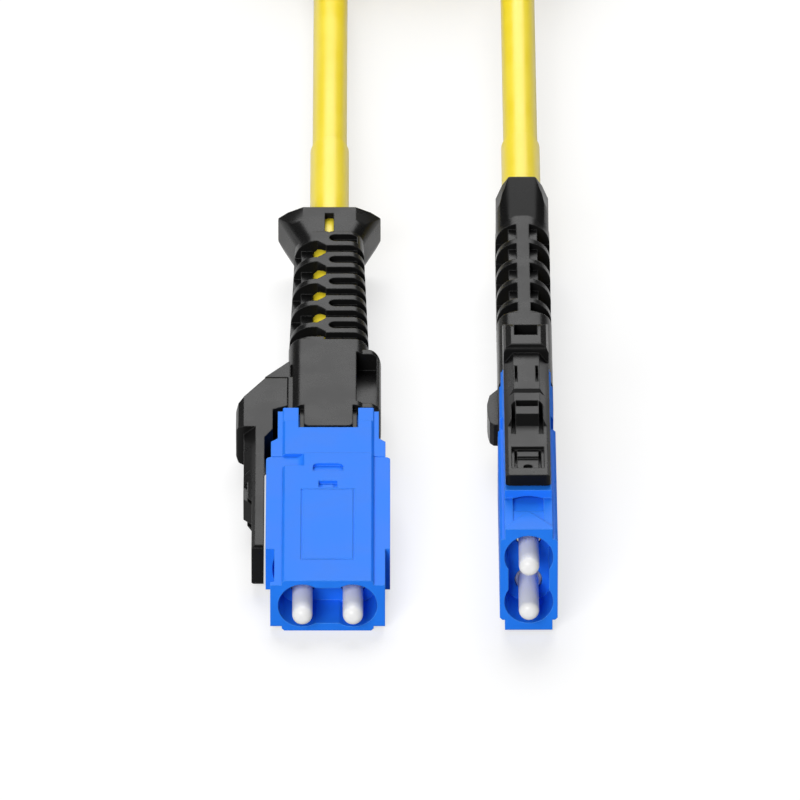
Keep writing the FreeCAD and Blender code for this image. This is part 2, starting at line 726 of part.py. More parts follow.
def make_relief_cuts():
    """Pockets beside the spine, and grooves and slots between the rib crests."""
    thick = (f"-{FAR}", FAR)
    stations = [rib_station(index) for index in range(RIB_COUNT)]
    fronts = ["relief_start + pocket_front_wall"] + [f"{station} + stem_width / 2" for station in stations]
    rears = [f"{station} - stem_width / 2" for station in stations] + ["relief_end - pocket_rear_wall"]
    pockets = []
    for index, (front, rear) in enumerate(zip(fronts, rears)):
        flare = (("-rib_split - fork_flare", front), ("-rib_split", f"{front} + fork_flare"))
        pockets.append(plate(f"boot_pocket_{index}", (
            (f"-{FAR}", front),
            *(flare if index else (("-rib_split", front),)),
            ("-rib_split", f"{rear} - fork_flare"),
            ("-rib_split - fork_flare", rear),
            (f"-{FAR}", rear),
        ), thick))
    whole = ("relief_start - overrun", "relief_end + overrun")
    spine = block("boot_spine", (f"-{FAR}", "-boot_bore_radius"), whole,
                  ("-spine_half_thickness", "spine_half_thickness"))
    wall = block("boot_pocket_wall", ("-pocket_wall_outer", "-pocket_wall_inner"), whole,
                 ("-pocket_wall_half_thickness", "pocket_wall_half_thickness"))
    gaps = []
    for index in range(RIB_COUNT + 1):
        groove = (f"{rib_station(index - 1)} + rib_width / 2", f"{rib_station(index)} - rib_width / 2")
        gaps.append(block(f"boot_groove_{index}", ("-rib_split - lap", FAR), groove, thick))
    core_side = "boot_rear_half_width - rib_groove_depth"
    for index in range(RIB_COUNT + 1):
        station = rib_station(index)
        limits = (f"{station} - slot_width / 2", f"{station} + slot_width / 2")
        side = FAR if index < RIB_COUNT else core_side
        gaps.append(block(f"boot_slot_{index}", ("slot_width / 2", side), limits, thick))
        gaps.append(round_bar(f"boot_slot_end_{index}", "slot_width / 2",
                              ("slot_width / 2", station, f"-{FAR}"), f"2 * {FAR}"))
    core = block("boot_core", (f"-{FAR}", core_side), ("0", "sleeve_end"),
                 ("rib_groove_depth - boot_half_thickness", "boot_half_thickness - rib_groove_depth"))
    carved = cut("boot_carving", join("boot_crest_gaps", *gaps), core)
    return cut("boot_pockets", join("boot_pocket_row", *pockets), spine, wall), carved


def make_collar():
    """Winged collar at the rear of the boot: faceted, wide at its back and drawn in towards the ribs."""
    thick = ("-collar_half_thickness", "collar_half_thickness")
    flare = taper("collar_flare", ("collar_front", "collar_end"),
                  ("-collar_front_half_width", "collar_front_half_width") + thick,
                  ("-collar_half_width", "collar_half_width") + thick)
    most = ROUND_LIMIT * size("collar_half_thickness")
    flare = rounded("collar_rounded", flare, min(size("collar_round"), most),
                    lambda edge: edge.BoundBox.YLength > size("lap"))
    facets = long_bar("collar_facets", (
        ("collar_half_width + lap", "collar_side_half_thickness"),
        ("collar_facet_half_width", "collar_facet_half_thickness"),
        ("collar_flat_half_width", "collar_half_thickness"),
        ("-collar_flat_half_width", "collar_half_thickness"),
        ("-collar_facet_half_width", "collar_facet_half_thickness"),
        ("-collar_half_width - lap", "collar_side_half_thickness"),
    ), ("collar_front - overrun", "collar_end + overrun"))
    return keep_common("collar_faceted", flare, facets)


def make_boot():
    """Black pull boot: block with two tongues, side hump, ribbed strain relief and winged collar."""
    full = ("-boot_half_width", "boot_half_width")
    thick = ("-boot_half_thickness", "boot_half_thickness")
    most = ROUND_LIMIT * size("boot_half_thickness")
    corner = min(size("boot_corner_round"), most)
    front = block("boot_block", full, ("boot_front", "relief_start"), thick)
    front = rounded("boot_block_rounded", front, corner, lengthwise)
    relief = taper("boot_relief", ("relief_start", "relief_end"), full + thick,
                   ("-boot_rear_half_width", "boot_rear_half_width") + thick)
    relief = rounded("boot_relief_rounded", relief, corner,
                     lambda edge: lengthwise(edge) and edge.BoundBox.XMin > 0)
    relief = rounded("boot_fins_rounded", relief, min(size("fin_corner_round"), most),
                     lambda edge: lengthwise(edge) and edge.BoundBox.XMax < -size("boot_bore_radius")
                     and near(abs(edge.Vertexes[0].Z), size("boot_half_thickness")))
    tongue_inner = "boot_half_thickness - tongue_thickness"
    tongue_length = ("tongue_front", "boot_front + overrun")
    tongue_tip = size("tongue_front")
    crowns = both_sides("boot_tongue_crowns", ("-tongue_half_width", "tongue_half_width"), tongue_length,
                        (tongue_inner, "boot_half_thickness"))
    crowns = rounded("boot_tongue_crowns_rounded", crowns, size("tongue_corner_round"),
                     lambda edge: through(edge) and near(edge.BoundBox.YMax, tongue_tip))
    bases = both_sides("boot_tongue_bases",
                       ("tongue_base_gap - notch_half_width", "notch_half_width - tongue_base_gap"),
                       tongue_length, (tongue_inner, f"{tongue_inner} + tongue_base_thickness"))
    seat = block("boot_latch_seat", ("-boot_half_width", "0"), ("boot_front", "gusset_front"),
                 ("-latch_half_thickness", "latch_half_thickness"))
    gusset = plate("boot_gusset", (
        ("-boot_half_width + lap", "gusset_front"),
        ("-carrier_root_half_width", "gusset_front"),
        ("-boot_half_width", "gusset_front + gusset_length"),
        ("-boot_half_width + lap", "gusset_front + gusset_length"),
    ), ("-latch_half_thickness", "latch_half_thickness"))
    hump = block("boot_hump", ("0", "hump_half_width"), ("boot_front", "boot_front + hump_length"),
                 ("-boot_half_thickness", "boot_half_thickness - hump_drop"))
    outer = size("hump_half_width")
    hump = rounded("boot_hump_rounded", hump, size("hump_round"),
                   lambda edge: (through(edge) or lengthwise(edge)) and near(edge.BoundBox.XMin, outer))
    crest = "panel_half_thickness + bump_height"
    bump = plate("boot_bump_profile", (
        ("boot_half_thickness - 2 * lap", "bump_front"),
        ("panel_half_thickness + 0.35 * bump_height", "bump_front"),
        ("panel_half_thickness + 0.75 * bump_height", "bump_front + bump_nose"),
        ("panel_half_thickness + 0.93 * bump_height", "bump_front + (bump_nose + bump_crest) / 2"),
        (crest, "bump_front + bump_crest"),
        (crest, "bump_front + bump_crest + bump_flat"),
        ("panel_half_thickness + 0.75 * bump_height", "bump_front + bump_crest + 2.6 * bump_flat"),
        ("boot_half_thickness - 2 * lap", "bump_front + bump_length"),
    ), ("0", "bump_width"))
    bump.Placement = FreeCAD.Placement(FreeCAD.Vector(), ACROSS_WIDTH)
    lug = block("boot_lug", ("-boot_half_width - lug_height", "-boot_half_width + 3 * lap"),
                ("lug_front", "lug_front + lug_length"), ("-lug_half_width", "lug_half_width"))
    solid = join("boot_solid", front, relief, make_collar(), crowns, bases, seat, gusset, hump,
                 bump, lug)
    bore = rod("boot_bore", "boot_bore_radius", "0", ("boot_front", "collar_end + overrun"))
    cavity = rod("boot_cavity", "crimp_cavity_radius", "0",
                 ("boot_front - overrun", "crimp_end + crimp_gap"))
    pocket = block("boot_hump_pocket", ("hump_pocket_inner", "hump_half_width - hump_wall"),
                   ("boot_front + 2 * hump_wall", "boot_front + hump_length - 2 * hump_wall"),
                   ("boot_half_thickness - hump_drop - hump_pocket_depth", FAR))
    slot_rear = "collar_end - collar_slot_inset"
    slot = plate("boot_collar_slot", (
        ("-collar_slot_half_width", slot_rear),
        ("-collar_slot_half_width", f"{slot_rear} - collar_slot_length + collar_slot_half_width"),
        ("0", f"{slot_rear} - collar_slot_length"),
        ("collar_slot_half_width", f"{slot_rear} - collar_slot_length + collar_slot_half_width"),
        ("collar_slot_half_width", slot_rear),
    ), (f"-{FAR}", FAR))
    return cut("boot", solid, bore, cavity, pocket, slot, *make_relief_cuts())


def make_latch():
    """Black latch bar: sloped carrier clipped on the boot, and an arm with two pads along the housing."""
    thick = ("-latch_half_thickness", "latch_half_thickness")
    profile = plate("latch_profile", (
        ("-root_inner", "carrier_root"),
        ("-carrier_root_half_width", "carrier_root"),
        ("-carrier_half_width", "carrier_rear"),
        ("-carrier_half_width", "carrier_front"),
        ("-pad_outer", "carrier_front"),
        ("-pad_outer", "rear_pad_start"),
        ("pad_notch - pad_outer", "pad_valley"),
        ("-pad_outer", "front_pad_end"),
        ("-pad_outer", "front_pad_start + pad_slope"),
        ("-arm_outer", "front_pad_start"),
        ("-arm_outer", "arm_tip"),
        ("-arm_inner", "arm_tip"),
        ("-arm_inner", "shoulder_end + arm_inner_setback"),
        ("-waist_gap", "shoulder_end + arm_inner_setback + arm_inner_slope"),
        ("-waist_gap", "rear_end - side_tab_setback + latch_inner_step"),
        ("-root_inner", "boot_front + latch_inner_step"),
    ), thick)
    tip = size("arm_tip")
    bar = rounded("latch_tip_rounded", profile, size("arm_tip_round"),
                  lambda edge: abs(direction(edge).x) > 0.98 and near(edge.BoundBox.YMax, tip))
    outer = size("carrier_half_width")
    for corner in ("carrier_front", "carrier_rear"):
        station = size(corner)
        bar = rounded(f"latch_{corner}_rounded", bar, size(corner + "_round"),
                      lambda edge: through(edge) and near(edge.BoundBox.XMin, -outer)
                      and near(edge.BoundBox.YMin, station))
    along_arm = long_bar("latch_arm_section", (
        ("0", "latch_half_thickness"),
        ("arm_chamfer - arm_outer", "latch_half_thickness"),
        ("-arm_outer", "latch_half_thickness - arm_chamfer"),
        ("-pad_outer", "pad_half_thickness"),
    ), ("arm_tip - overrun", "carrier_front"))
    along_carrier = long_bar("latch_carrier_section", (
        ("0", "latch_half_thickness"),
        ("carrier_edge - carrier_half_width", "latch_half_thickness"),
        ("0.3 * carrier_edge - carrier_half_width", "latch_half_thickness - 0.3 * carrier_edge"),
        ("-carrier_half_width", "latch_half_thickness - carrier_edge"),
    ), ("carrier_front", "carrier_root + overrun"))
    bar = keep_common("latch_bevelled", bar, join("latch_section", along_arm, along_carrier))
    outside = "-carrier_half_width - overrun"
    tip_window = block("latch_tip_window", (outside, "-arm_inner - tip_window_floor"),
                       ("window_front", "window_rear"), ("-tip_window_half_width", "tip_window_half_width"))
    blind = (outside, "-arm_inner - slot_floor")
    tip_slots = both_sides("latch_tip_slots", blind, ("window_front + lap", "window_rear - lap"),
                           ("tip_slot_half_width - tip_slot_width", "tip_slot_half_width"))
    bar_place = "window_front + tip_bar_setback"
    tip_gap = block("latch_tip_gap", blind, (f"{bar_place} - 2 * lap", f"{bar_place} - lap / 2"),
                    ("-tip_slot_half_width", "tip_slot_half_width"))
    cross_bar = block("latch_cross_bar", ("tip_bar_drop - arm_outer", "-arm_inner"),
                      (bar_place, f"{bar_place} + tip_bar"),
                      ("tip_slot_width - tip_slot_half_width", "tip_slot_half_width - tip_slot_width"))
    hole = round_bar("latch_tip_hole", "tip_hole_diameter / 2",
                     (outside, "window_front + tip_hole_inset", "0"), "carrier_half_width", ACROSS_WIDTH)
    side_slots = both_sides("latch_side_slots", blind,
                            ("side_slot_start", "side_slot_start + side_slot_length"),
                            ("side_slot_half_width - side_slot_width", "side_slot_half_width"))
    pad_window = block("latch_pad_window", (outside, "-arm_outer"),
                       ("pad_window_start", "pad_window_start + pad_window_length"),
                       ("-pad_window_half_width", "pad_window_half_width"))
    pad_slots = both_sides("latch_pad_slots", (outside, "pad_slot_depth - pad_outer"),
                           ("rear_pad_start + pad_slot_inset",
                            "rear_pad_start + pad_slot_inset + pad_slot_length"),
                           ("pad_slot_half_width - pad_slot_width", "pad_slot_half_width"))
    carrier_window = block("latch_carrier_window", (outside, "carrier_window_depth - carrier_half_width"),
                           ("carrier_window_start", "carrier_window_start + carrier_window_length"),
                           ("-carrier_window_half_width", "carrier_window_half_width"))
    lug_room = block("latch_lug_room",
                     ("-boot_half_width - lug_height - 2 * latch_clearance", "0"),
                     ("lug_front - 2 * latch_clearance", "lug_front + lug_length + 2 * latch_clearance"),
                     ("-lug_half_width - latch_clearance", "lug_half_width + latch_clearance"))
    opened = cut("latch_opened", bar, tip_window, tip_slots, tip_gap, side_slots, pad_window, pad_slots,
                 carrier_window, lug_room)
    return cut("latch", join("latch_barred", opened, cross_bar), hole)


def make_cable_run(label, route):
    """A stretch of cable: straight runs joined by tangent arcs as large as the shorter run allows."""
    points = [FreeCAD.Vector(*point) for point in route]
    edges = []
    last = points[0]
    for before, corner, after in zip(points, points[1:], points[2:]):
        back = before - corner
        ahead = after - corner
        turn = math.pi - back.getAngle(ahead)
        reach = ARC_SHARE * min(back.Length, ahead.Length)
        radius = reach / math.tan(turn / 2)
        print(f"{label}: radius {radius:.1f} mm over {math.degrees(turn):.1f} degrees")
        start = corner + back.normalize() * reach
        end = corner + ahead.normalize() * reach
        inward = (back + ahead).normalize()
        middle = corner + inward * (radius / math.cos(turn / 2) - radius)
        edges.append(Part.LineSegment(last, start).toShape())
        edges.append(Part.Arc(start, middle, end).toShape())
        last = end
    edges.append(Part.LineSegment(last, points[-1]).toShape())
    radius = size("cable_diameter") / 2
    run = doc.addObject("Part::Feature", label)
    run.Shape = tube(edges, radius)
    length = sum(edge.Length for edge in edges)
    share = run.Shape.Volume / (math.pi * radius * radius * length)
    print(f"{label}: length {length:.1f} mm, volume {share:.4f} of section times length")
    nodes.append(run)


def make_coil():
    """The wound cable as one ring of its outer shape, and the strap round it."""
    centre = ("coil_centre_x", "coil_centre_y")
    outer = "coil_mid_radius + coil_half_width"
    inner = "coil_mid_radius - coil_half_width"
    height = "coil_top - tie_thickness"
    ring = cut("coil_ring", round_bar("coil_outside", outer, centre + ("tie_thickness",), height),
               round_bar("coil_inside", inner, centre + ("tie_thickness - overrun",),
                         height + " + 2 * overrun"))
    coil = rounded("cable_coil", ring, size("cable_diameter") / 2, lambda edge: edge.Closed)
    band = cut("tie_band", round_bar("tie_outside", outer + " + tie_thickness", centre + ("0",),
                                     "coil_top + tie_thickness"),
               round_bar("tie_inside", inner + " - tie_thickness", centre + ("-overrun",),
                         "coil_top + 2 * overrun"))
    reach = block("tie_reach", ("coil_centre_x - tie_width / 2", "coil_centre_x + tie_width / 2"),
                  ("coil_centre_y", "coil_centre_y + 100"), ("0", "coil_top + tie_thickness"))
    tie = cut("coil_tie", keep_common("tie_strip", band, reach), ring)
    for node in (coil, tie):
        nodes.append(node)


def place(label, form, where):
    """Put a connector's piece where its end lies."""
    node = doc.addObject("Part::Compound", label)
    node.Links = [form]
    node.Placement = where
    nodes.append(node)


def end_places():
    """Where the two connectors lie: A on its nose and the bump on its boot, B on its flange."""
    left = max(size("pad_outer"), size("carrier_half_width"))
    x_a = (left - size("ends_spacing") - size("panel_half_thickness")) / 2
    y_nose = (size("ferrule_protrusion") - size("sleeve_end")) / 2
    stagger = size("ends_stagger") / 2
    tilt = math.atan2(size("bump_height"), size("bump_front") + size("bump_crest"))
    up_a = size("panel_half_thickness") * math.cos(tilt)
    lie = FreeCAD.Rotation(FreeCAD.Vector(1, 0, 0), math.degrees(tilt))
    stand = FreeCAD.Rotation(FreeCAD.Vector(0, 1, 0), 90)
    yaw = FreeCAD.Rotation(FreeCAD.Vector(0, 0, 1), size("end_b_yaw"))
    return {
        "a": FreeCAD.Placement(FreeCAD.Vector(x_a, y_nose + stagger, up_a), lie),
        "b": FreeCAD.Placement(FreeCAD.Vector(x_a + size("ends_spacing"), y_nose - stagger,
                                              size("flange_half_width")), yaw * stand),
    }


def build():
    """Draw every form once, place the connectors' pieces and lay the cable."""
    single = {"housing": make_housing(), "rear_body": make_rear_body(), "boot": make_boot(),
              "latch": make_latch(), "crimp_sleeve": make_crimp_sleeve(),
              "cable_sleeve": make_cable_sleeve()}
    ferrule = make_ferrule()
    holder = make_holder()
    spring, spring_seat = make_spring()
    fibres = {1: make_fibre(-1), 2: make_fibre(1)}
    for end, where in end_places().items():
        for label, form in single.items():
            place(f"{label}_{end}", form, where)
        for number, fibre in fibres.items():
            side = -1 if number == 1 else 1
            lane = where * FreeCAD.Placement(FreeCAD.Vector(side * size("port_offset"), 0, 0),
                                             FreeCAD.Rotation())
            place(f"ferrule_{number}_{end}", ferrule, lane)
            place(f"ferrule_holder_{number}_{end}", holder, lane)
            place(f"spring_{number}_{end}", spring, lane * spring_seat)
            place(f"fibre_{number}_{end}", fibre, where)
    for label, route in CABLE_ROUTES.items():
        make_cable_run(label, route)
    make_coil()


def write_parts():
    """Check every object and write each piece to its own file."""
    doc.recompute()
    for thing in doc.Objects:
        if "Invalid" in thing.State or "Error" in thing.State:
            raise RuntimeError(f"{thing.Label} failed: {thing.State}")
    os.makedirs("parts", exist_ok=True)
    for node in nodes:
        if node.Shape.isNull() or not node.Shape.isValid() or not node.Shape.Solids:
            raise RuntimeError(f"{node.Label} has no valid solid")
        node.Shape.exportStep(f"parts/{node.Label}.step")
    print(f"{len(nodes)} parts written")


build()
write_parts()
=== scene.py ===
"""Dress the packed fibre patch cord: its finishes, the cord as it lies, its strap and the studio."""
import json
import logging
import math
from dataclasses import dataclass
from enum import Enum
from typing import Optional, Union

import bpy
import numpy as np
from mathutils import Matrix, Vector


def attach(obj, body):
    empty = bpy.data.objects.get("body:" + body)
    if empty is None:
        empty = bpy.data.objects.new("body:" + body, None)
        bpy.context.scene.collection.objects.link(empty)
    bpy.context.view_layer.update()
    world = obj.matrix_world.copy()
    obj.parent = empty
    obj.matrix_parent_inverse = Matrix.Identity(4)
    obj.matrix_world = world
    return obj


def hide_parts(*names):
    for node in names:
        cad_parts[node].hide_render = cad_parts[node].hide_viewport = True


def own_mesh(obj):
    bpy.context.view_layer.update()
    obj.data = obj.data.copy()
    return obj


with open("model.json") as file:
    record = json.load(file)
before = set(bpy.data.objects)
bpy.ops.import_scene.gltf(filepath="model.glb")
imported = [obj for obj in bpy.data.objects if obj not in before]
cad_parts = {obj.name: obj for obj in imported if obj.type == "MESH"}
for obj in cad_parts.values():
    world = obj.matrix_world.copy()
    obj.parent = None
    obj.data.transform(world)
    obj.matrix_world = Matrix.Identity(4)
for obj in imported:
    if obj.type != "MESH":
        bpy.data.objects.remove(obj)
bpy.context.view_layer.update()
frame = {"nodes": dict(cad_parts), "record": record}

MM = 0.001
ENDS = ("a", "b")
FERRULES = (1, 2)

# The middle of a noise's values, which a ramp spreads over its full contrast.
MIDDLE_BAND = (0.3, 0.7)
# How far the rounded normal has turned where an edge's mask starts, and where it is full.
EDGE_BAND = (0.02, 0.3)
BEVEL_SAMPLES = 6
WELD_REACH = 0.0005 * MM
SHARP_ANGLE = math.radians(20)
TINY = 1e-9
BLACK = (0.0, 0.0, 0.0)
WHITE = (1.0, 1.0, 1.0)

Colour = tuple[float, float, float]
Point = tuple[float, float, float]
Number = Union[float, "Signal"]

log = logging.getLogger("patch_cord")


class Body(Enum):
    """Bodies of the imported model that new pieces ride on."""

    CORD = "cord"


class Slot(Enum):
    """Material slots of the record, one for each finish."""

    BLUE_PLASTIC = "blue_plastic"
    BLACK_PLASTIC = "black_plastic"
    CERAMIC = "ceramic"
    HOLDER_METAL = "holder_metal"
    SPRING_STEEL = "spring_steel"
    CRIMP_METAL = "crimp_metal"
    FIBRE_BUFFER = "fibre_buffer"
    YELLOW_SLEEVE = "yellow_sleeve"
    YELLOW_JACKET = "yellow_jacket"
    TIE_FABRIC = "tie_fabric"


class Signal:
    """A number on a surface: wraps an output socket, so that sums and products add Math nodes."""

    def __init__(self, bench: "Bench", socket: bpy.types.NodeSocket) -> None:
        """Keep the socket and the bench that its tree is built on."""
        self.bench = bench
        self.socket = socket

    def maths(self, operation: str, first: Number, second: Number) -> "Signal":
        """Add one Math node.

        Args:
            operation: the Math node's operation.
            first: the first operand.
            second: the second operand.

        Returns:
            The node's value.
        """
        return self.bench.signal("ShaderNodeMath", {"operation": operation}, {0: first, 1: second})

    def __add__(self, other: Number) -> "Signal":
        """self + other."""
        return self.maths("ADD", self, other)

    def __sub__(self, other: Number) -> "Signal":
        """self - other."""
        return self.maths("SUBTRACT", self, other)

    def __rsub__(self, other: Number) -> "Signal":
        """other - self."""
        return self.maths("SUBTRACT", other, self)

    def __mul__(self, other: Number) -> "Signal":
        """self * other."""
        return self.maths("MULTIPLY", self, other)

    __radd__ = __add__
    __rmul__ = __mul__

    def ramp(self, low: float, high: float) -> "Signal":
        """Spread the values from low to high over 0 to 1, eased at both ends.

        Args:
            low: the value that becomes 0.
            high: the value that becomes 1.

        Returns:
            The eased value.
        """
        return self.bench.signal("ShaderNodeMapRange", {"interpolation_type": "SMOOTHSTEP"},
                                 {"Value": self, "From Min": low, "From Max": high}, "Result")


class Bench:
    """Builds one material's node tree."""

    def __init__(self, name: str) -> None:
        """Start an empty material with that name."""
        self.material = bpy.data.materials.new(name)
        self.material.use_nodes = True
        self.tree = self.material.node_tree
        self.tree.nodes.clear()

    def node(self, kind: str, settings: Optional[dict] = None,
             inputs: Optional[dict] = None) -> bpy.types.Node:
        """Add one node of any kind.

        Args:
            kind: the node's type.
            settings: the node's own properties, set before its sockets.
            inputs: values, sockets or signals for its inputs, by name or number.

        Returns:
            The node.
        """
        made = self.tree.nodes.new(kind)
        for key, value in (settings or {}).items():
            setattr(made, key, value)
        for key, value in (inputs or {}).items():
            if isinstance(value, Signal):
                value = value.socket
            if isinstance(value, bpy.types.NodeSocket):
                self.tree.links.new(value, made.inputs[key])
            else:
                made.inputs[key].default_value = value
        return made

    def signal(self, kind: str, settings: Optional[dict] = None, inputs: Optional[dict] = None,
               output: Union[str, int] = 0) -> Signal:
        """Add one node and wrap one of its outputs.

        Args:
            kind: the node's type.
            settings: the node's own properties.
            inputs: values or links of its inputs.
            output: the output's name or number.

        Returns:
            The wrapped output.
        """
        return Signal(self, self.node(kind, settings, inputs).outputs[output])

    def place(self) -> bpy.types.NodeSocket:
        """The point on the surface in the part's own frame, in metres."""
        return self.node("ShaderNodeTexCoord").outputs["Object"]

    def noise(self, scale: float, detail: float = 2.0, at: Optional[bpy.types.NodeSocket] = None) -> Signal:
        """Cloudy noise.

        Args:
            scale: clouds for each metre.
            detail: octaves.
            at: the coordinates, or None for the part's own frame.

        Returns:
            The noise, about 0 to 1.
        """
        inputs = {"Vector": at or self.place(), "Scale": scale, "Detail": detail}
        return self.signal("ShaderNodeTexNoise", {}, inputs, "Fac")

    def blend(self, share: Number, first: Union[tuple, bpy.types.NodeSocket],
              second: Union[tuple, bpy.types.NodeSocket]) -> bpy.types.NodeSocket:
        """Mix two colours.

        Args:
            share: how much of the second colour shows.
            first: the colour at share 0.
            second: the colour at share 1.

        Returns:
            The mixed colour.
        """
        values = [value + (1.0,) if isinstance(value, tuple) else value for value in (first, second)]
        inputs = {"Factor": share, 6: values[0], 7: values[1]}
        return self.node("ShaderNodeMix", {"data_type": "RGBA"}, inputs).outputs[2]

    def bump(self, height: Signal, depth: float,
             under: Optional[bpy.types.NodeSocket] = None) -> bpy.types.NodeSocket:
        """Raise the surface by a height.

        Args:
            height: the height, 0 to 1.
            depth: the depth of that range in metres.
            under: the normal that the bump is laid on.

        Returns:
            The new normal.
        """
        inputs = {"Height": height, "Distance": depth, "Strength": 1.0}
        if under:
            inputs["Normal"] = under
        return self.node("ShaderNodeBump", {}, inputs).outputs["Normal"]

    def soft_edge(self, radius: float) -> tuple[bpy.types.NodeSocket, Signal]:
        """Round the sharp edges in the shading.

        Args:
            radius: the rounding's radius in metres.

        Returns:
            The rounded normal, and a mask that is 1 on the edges.
        """
        bevel = self.node("ShaderNodeBevel", {"samples": BEVEL_SAMPLES}, {"Radius": radius})
        rounded = bevel.outputs["Normal"]
        facing = self.node("ShaderNodeNewGeometry").outputs["Normal"]
        same = self.signal("ShaderNodeVectorMath", {"operation": "DOT_PRODUCT"},
                           {0: rounded, 1: facing}, "Value")
        return rounded, (1.0 - same).ramp(*EDGE_BAND)

    def finish(self, **sockets: object) -> bpy.types.Material:
        """Close the tree with a Principled shader.

        Args:
            sockets: the shader's inputs, with spaces as underscores.

        Returns:
            The finished material.
        """
        inputs = {key.replace("_", " "): value for key, value in sockets.items()}
        shader = self.node("ShaderNodeBsdfPrincipled", {}, inputs)
        self.node("ShaderNodeOutputMaterial", {}, {"Surface": shader.outputs["BSDF"]})
        return self.material


@dataclass(frozen=True)
class MouldedPlastic:
    """Injection moulded plastic: a fine spark texture, soft mottling, and edges painted paler as a highlight.
    """

    name: str
    colour: Colour
    edge_highlight_colour: Colour
    roughness: float
    gloss: float
    edge_radius: float = 0.09 * MM
    grain: float = 0.09 * MM
    grain_depth: float = 0.0015 * MM
    mottle: float = 2.5 * MM
    mottle_dark: float = 0.94
    edge_highlight_share: float = 0.85
    mottle_roughness: float = 0.06
    grain_roughness: float = 0.08
    edge_polish: float = 0.06

    def make(self) -> bpy.types.Material:
        """Build the material: rounded edges with a painted highlight in colour, grain in the bump, mottling
        in colour and roughness.
        """
        bench = Bench(self.name)
        normal, edge = bench.soft_edge(self.edge_radius)
        grain = bench.noise(1 / self.grain, detail=3.0)
        mottle = bench.noise(1 / self.mottle).ramp(*MIDDLE_BAND)
        dark = tuple(self.mottle_dark * value for value in self.colour)
        # The rounded edges are blended towards a paler colour: a painted highlight along every edge.
        colour = bench.blend(edge * self.edge_highlight_share, bench.blend(mottle, dark, self.colour), self.edge_highlight_colour)
        roughness = (self.roughness + (mottle - 0.5) * self.mottle_roughness
                     + (grain - 0.5) * self.grain_roughness - edge * self.edge_polish)
        return bench.finish(Base_Color=colour, Roughness=roughness, Specular_IOR_Level=self.gloss,
                            Normal=bench.bump(grain, self.grain_depth, normal))


@dataclass(frozen=True)
class JacketPolymer:
    """Extruded cable jacket: satin, with fine pits and a little unevenness in colour and gloss."""

    name: str
    colour: Colour
    deep: Colour
    roughness: float
    gloss: float = 0.3
    drift: float = 350.0
    drift_roughness: float = 0.08
    pits: float = 9000.0
    pit_roughness: float = 0.1
    pit_depth: float = 0.002 * MM

    def make(self) -> bpy.types.Material:
        """Build the material: slow colour drift, pits in the bump and a varied gloss."""
        bench = Bench(self.name)
        drift = bench.noise(self.drift, detail=3.0).ramp(*MIDDLE_BAND)
        pits = bench.noise(self.pits, detail=4.0)
        roughness = (self.roughness + (drift - 0.5) * self.drift_roughness
                     + (pits - 0.5) * self.pit_roughness)
        return bench.finish(Base_Color=bench.blend(drift, self.deep, self.colour), Roughness=roughness,
                            Specular_IOR_Level=self.gloss, Normal=bench.bump(pits, self.pit_depth))


@dataclass(frozen=True)
class PolishedCeramic:
    """Dense white ceramic, ground and polished."""

    name: str
    colour: Colour
    shade: Colour
    roughness: float = 0.24
    gloss: float = 0.3
    edge_radius: float = 0.05 * MM
    edge_roughness: float = 0.05
    cloud: float = 1500.0
    cloud_share: float = 0.6
    grind: float = 20000.0
    grind_roughness: float = 0.1
    grind_depth: float = 0.0006 * MM

    def make(self) -> bpy.types.Material:
        """Build the material: faint clouding, fine grinding marks and a rounded edge."""
        bench = Bench(self.name)
        normal, edge = bench.soft_edge(self.edge_radius)
        cloud = bench.noise(self.cloud)
        grind = bench.noise(self.grind)
        roughness = self.roughness + grind * self.grind_roughness + edge * self.edge_roughness
        return bench.finish(Base_Color=bench.blend(cloud * self.cloud_share, self.colour, self.shade),
                            Roughness=roughness, Specular_IOR_Level=self.gloss,
                            Normal=bench.bump(grind, self.grind_depth, normal))


@dataclass(frozen=True)
class TurnedMetal:
    """Turned or drawn metal with rings or marks of the tool."""

    name: str
    colour: Colour
    dark: Colour
    roughness: float
    pitch: float = 0.05 * MM
    stretch: tuple[float, float, float] = (0.15, 1.0, 0.15)
    ring_roughness: float = 0.15
    ring_depth: float = 0.002 * MM
    tarnish: float = 700.0
    tarnish_band: tuple[float, float] = (0.4, 0.8)
    tarnish_roughness: float = 0.1

    def make(self) -> bpy.types.Material:
        """Build the material: tool rings along the length, in the bump and the gloss."""
        bench = Bench(self.name)
        stretched = bench.node("ShaderNodeMapping", {}, {"Vector": bench.place(), "Scale": self.stretch})
        rings = bench.noise(1 / self.pitch, at=stretched.outputs["Vector"])
        tarnish = bench.noise(self.tarnish, detail=3.0).ramp(*self.tarnish_band)
        roughness = self.roughness + rings * self.ring_roughness + tarnish * self.tarnish_roughness
        return bench.finish(Base_Color=bench.blend(tarnish, self.colour, self.dark), Metallic=1.0,
                            Roughness=roughness, Normal=bench.bump(rings, self.ring_depth))


